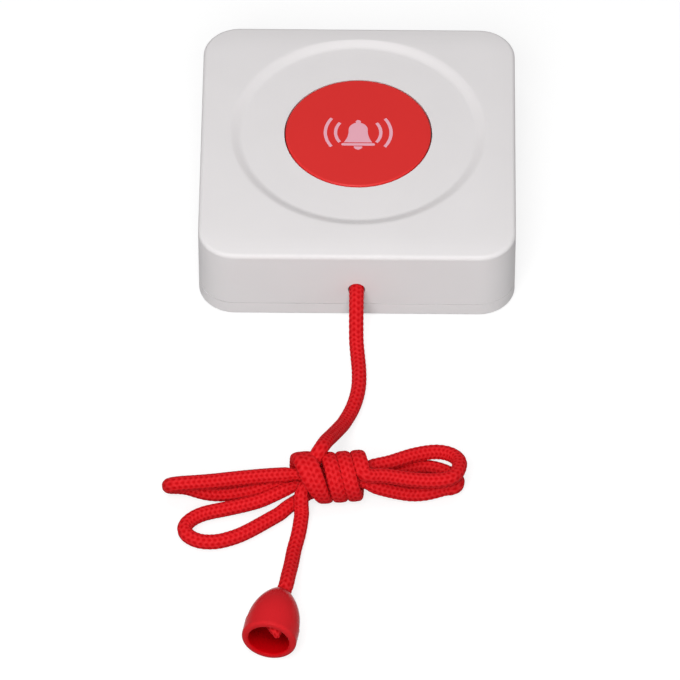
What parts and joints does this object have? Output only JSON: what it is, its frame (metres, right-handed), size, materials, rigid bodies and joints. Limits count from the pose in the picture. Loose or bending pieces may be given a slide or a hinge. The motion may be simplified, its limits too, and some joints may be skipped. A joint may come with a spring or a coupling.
{
  "type": "caregiver call button",
  "caption": "Square wall box with a large round push button in a shallow dish and a knitted pull cord, bound in a hank, that ends in a hollow bell; the button and the cord work switches inside.",
  "frame": {"origin": "middle of the back plate's underside, without the cord, its hank and its bell", "axes": "+Z out of the button's face, -Y the way the cord leaves the box, +X to the right seen from the cord's side"},
  "size_m": [0.0933, 0.2084, 0.0234],
  "materials": {
    "white_plastic": "satin moulded",
    "red_plastic": "satin moulded",
    "bell_plastic": "polished moulded",
    "red_cord": "knitted",
    "spring_steel": "drawn wire",
    "board": "solder mask",
    "switch_body": "moulded",
    "switch_stem": "moulded",
    "slider_plastic": "moulded, low friction",
    "holder_plastic": "moulded",
    "clip_steel": "tin plated",
    "cell_steel": "nickel plated",
    "screw_steel": "zinc plated"
  },
  "bodies": {
    "housing": {"front_cover": "white_plastic", "back_plate": "white_plastic", "circuit_board": "board", "call_switch": "switch_body", "pull_switch": "switch_body", "battery_holder": "holder_plastic", "battery_clip": "clip_steel", "coin_cell": "cell_steel", "radio_board": "board", "radio_shield": "clip_steel", "board_screws": "screw_steel", "button_spring": "spring_steel", "slider_spring": "spring_steel"},
    "button": {"call_button": "red_plastic"},
    "call_stem": {"call_plunger": "switch_stem"},
    "pull": {"pull_slider": "slider_plastic", "cord_stop_knot": "red_cord", "cord_lead": "red_cord", "cord_hank": "red_cord", "cord_tail": "red_cord", "pull_bell": "bell_plastic", "bell_knot": "red_cord"},
    "pull_stem": {"pull_plunger": "switch_stem"}
  },
  "joints": [
    {"name": "call_press", "type": "slide", "parent": "housing", "child": "button", "axis": [0, 0, -1], "range_m": [0, 0.0008], "stiffness_N_per_m": 1500, "springref_m": -0.001, "deforming": ["button_spring"]},
    {"name": "call_stem_press", "type": "slide", "parent": "housing", "child": "call_stem", "axis": [0, 0, -1], "range_m": [0, 0.0008]},
    {"name": "cord_pull", "type": "slide", "parent": "housing", "child": "pull", "axis": [0, -1, 0], "range_m": [0, 0.004], "stiffness_N_per_m": 800, "springref_m": -0.003, "deforming": ["slider_spring"]},
    {"name": "pull_stem_press", "type": "slide", "parent": "housing", "child": "pull_stem", "axis": [1, 0, 0], "range_m": [0, 0.0005]}
  ],
  "couplings": [
    {"joint": "call_stem_press", "follows": "call_press", "ratio": 1},
    {"joint": "pull_stem_press", "follows": "cord_pull", "ratio": 0.125}
  ]
}
